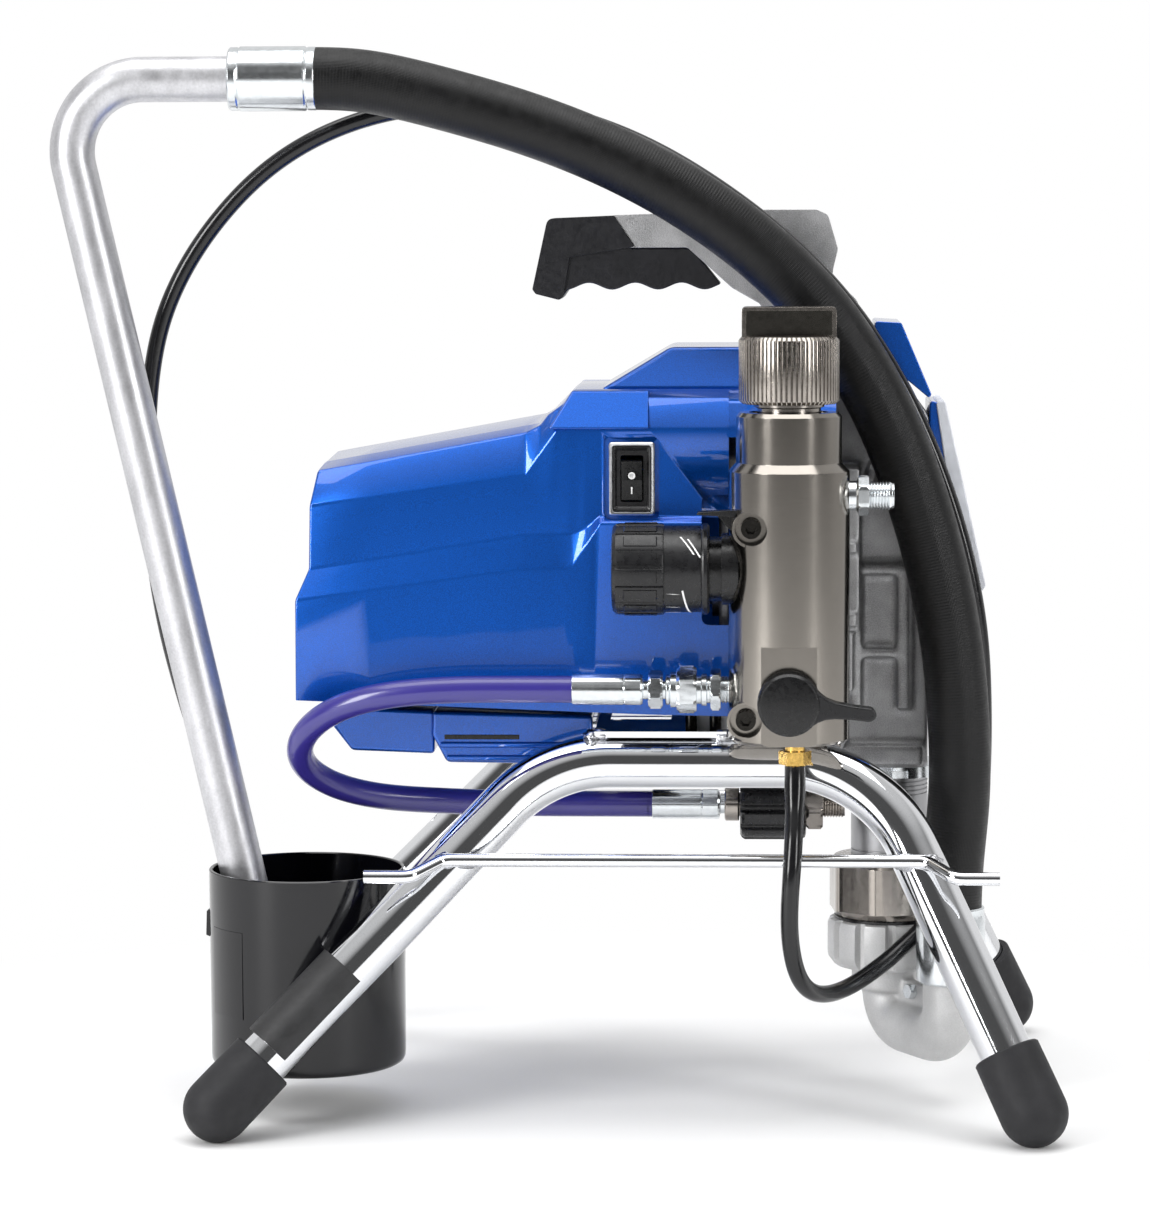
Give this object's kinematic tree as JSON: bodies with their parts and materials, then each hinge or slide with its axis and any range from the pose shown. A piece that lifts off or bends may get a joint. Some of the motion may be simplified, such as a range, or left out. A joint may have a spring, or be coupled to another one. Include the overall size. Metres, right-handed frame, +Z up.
{
  "type": "airless paint sprayer",
  "caption": "Electric airless paint pump on a tubular stand, with a suction tube and hose, filter manifold, pressure knob, prime valve and drip cup.",
  "frame": {"origin": "on the floor, at the middle of the whole machine's footprint", "axes": "+X towards the pump and front cover, +Z up, the manifold, knob and prime valve on the -Y side"},
  "size_m": [0.4927, 0.309, 0.5226],
  "materials": {
    "chrome": "bright chrome plate",
    "foot_rubber": "matte moulded rubber",
    "hose_rubber": "smooth cloth-marked rubber",
    "cup_plastic": "glossy moulded",
    "clip_plastic": "fine matte",
    "blue_cover": "metallic blue under clear coat",
    "grey_cover": "satin light grey",
    "cast_metal": "sand-cast and blasted",
    "handle_metal": "blasted casting",
    "grip_plastic": "fine matte",
    "black_plastic": "satin moulded",
    "black_steel": "black oxide",
    "zinc": "bright zinc plate",
    "nickel": "turned nickel plate",
    "bare_aluminium": "bare drawn or blasted",
    "steel": "machined",
    "packing": "pressed packing",
    "brass": "machined",
    "filter_mesh": "moulded cage",
    "blue_hose": "braid under a thin cover",
    "bezel": "satin metallic",
    "board": "lacquered board"
  },
  "bodies": {
    "machine": {"side_frames": "chrome", "mounting_plate": "chrome", "hose_racks": "chrome", "rubber_feet": "foot_rubber", "frame_bolts": "black_steel", "motor_shroud": "blue_cover", "top_cover": "blue_cover", "lower_pan": "blue_cover", "front_cover": "grey_cover", "front_cap": "blue_cover", "drive_housing": "cast_metal", "handle_arm": "handle_metal", "handle_grip": "grip_plastic", "handle_screws": "black_steel", "motor_can": "black_steel", "motor_bearings": "steel", "rod_packings": "packing", "pump_cylinder": "bare_aluminium", "jam_nut": "zinc", "intake_housing": "nickel", "intake_seat": "steel", "suction_seal": "foot_rubber", "suction_elbow": "bare_aluminium", "hose_ferrules": "zinc", "suction_hose": "hose_rubber", "suction_tube": "bare_aluminium", "inlet_strainer": "black_plastic", "drain_hose": "hose_rubber", "drain_fitting": "brass", "filter_manifold": "nickel", "manifold_bolts": "black_steel", "outlet_nipple": "zinc", "pressure_control": "black_plastic", "pointer_bracket": "black_plastic", "valve_base": "nickel", "paint_hose": "blue_hose", "paint_hose_fittings": "zinc", "hose_adapter": "zinc", "switch_bezel": "bezel", "control_board": "board"},
    "drip_cup": {"drip_cup": "cup_plastic", "cup_clip": "clip_plastic", "clip_screws": "black_steel"},
    "prime_valve": {"valve_handle": "black_plastic"},
    "pressure_knob": {"pressure_knob": "black_plastic"},
    "filter_lift": {"filter_element": "filter_mesh"},
    "filter_cap": {"filter_cap": "nickel"},
    "power_rocker": {"power_rocker": "black_plastic"},
    "motor_rotor": {"armature": "steel", "cooling_fan": "black_plastic"},
    "intermediate_gear": {"intermediate_gear": "steel"},
    "crank": {"crank_gear": "steel"},
    "connecting_rod": {"connecting_rod": "steel", "wrist_pin": "steel"},
    "displacement_rod": {"displacement_rod": "steel"},
    "piston_ball": {"piston_ball": "steel"},
    "intake_ball": {"intake_ball": "steel"},
    "suction_nut": {"suction_nut": "bare_aluminium"},
    "coupler_knob": {"coupler_knob": "black_plastic"},
    "swivel_nut": {"swivel_nut": "zinc"}
  },
  "joints": [
    {"name": "prime_valve_turn", "type": "hinge", "parent": "machine", "child": "prime_valve", "pos_m": [0.114, -0.137, 0.211], "axis": [0, 1, 0], "range_deg": [0, 90]},
    {"name": "pressure_knob_turn", "type": "hinge", "parent": "machine", "child": "pressure_knob", "pos_m": [0.05, -0.104, 0.272], "axis": [1, 0, 0], "range_deg": [0, 270]},
    {"name": "filter_cap_lift", "type": "slide", "parent": "machine", "child": "filter_lift", "axis": [0, 0, 1], "range_m": [0, 0.01]},
    {"name": "filter_cap_turn", "type": "hinge", "parent": "filter_lift", "child": "filter_cap", "pos_m": [0.114, -0.104, 0.36], "axis": [0, 0, 1], "range_deg": [0, 1800]},
    {"name": "power_rocker_tilt", "type": "hinge", "parent": "machine", "child": "power_rocker", "pos_m": [0.038, -0.067, 0.313], "axis": [1, 0, 0], "range_deg": [-20, 0]},
    {"name": "crank_turn", "type": "hinge", "parent": "machine", "child": "crank", "pos_m": [0.13, 0, 0.322], "axis": [1, 0, 0], "continuous": true},
    {"name": "connecting_rod_turn", "type": "hinge", "parent": "crank", "child": "connecting_rod", "pos_m": [0.165, 0, 0.33], "axis": [1, 0, 0], "continuous": true},
    {"name": "intermediate_gear_turn", "type": "hinge", "parent": "machine", "child": "intermediate_gear", "pos_m": [0.1, 0.02133, 0.279], "axis": [1, 0, 0], "continuous": true},
    {"name": "motor_turn", "type": "hinge", "parent": "machine", "child": "motor_rotor", "pos_m": [0, 0, 0.25], "axis": [1, 0, 0], "continuous": true},
    {"name": "displacement_rod_slide", "type": "slide", "parent": "machine", "child": "displacement_rod", "axis": [0, 0, 1], "range_m": [-0.016, 0]},
    {"name": "piston_ball_lift", "type": "slide", "parent": "displacement_rod", "child": "piston_ball", "axis": [0, 0, 1], "range_m": [0, 0.002]},
    {"name": "intake_ball_lift", "type": "slide", "parent": "machine", "child": "intake_ball", "axis": [0, 0, 1], "range_m": [0, 0.003]},
    {"name": "suction_nut_turn", "type": "hinge", "parent": "machine", "child": "suction_nut", "pos_m": [0.165, 0, 0.072], "axis": [0, 0, 1], "range_deg": [0, 90]},
    {"name": "coupler_knob_turn", "type": "hinge", "parent": "machine", "child": "coupler_knob", "pos_m": [0.106, -0.01, 0.145], "axis": [1, 0, 0], "range_deg": [0, 180]},
    {"name": "swivel_nut_turn", "type": "hinge", "parent": "machine", "child": "swivel_nut", "pos_m": [0.065, -0.104, 0.214], "axis": [1, 0, 0], "range_deg": [0, 180]},
    {"name": "drip_cup_slide", "type": "slide", "parent": "machine", "child": "drip_cup", "axis": [0.6752, 0.2597, 0.6904], "range_m": [-0.004, 0.003]}
  ],
  "couplings": [
    {"joint": "filter_cap_lift", "follows": "filter_cap_turn", "m_per_rad": 0.00031831},
    {"joint": "connecting_rod_turn", "follows": "crank_turn", "ratio": -1},
    {"joint": "intermediate_gear_turn", "follows": "crank_turn", "ratio": -5},
    {"joint": "motor_turn", "follows": "crank_turn", "ratio": 25}
  ]
}
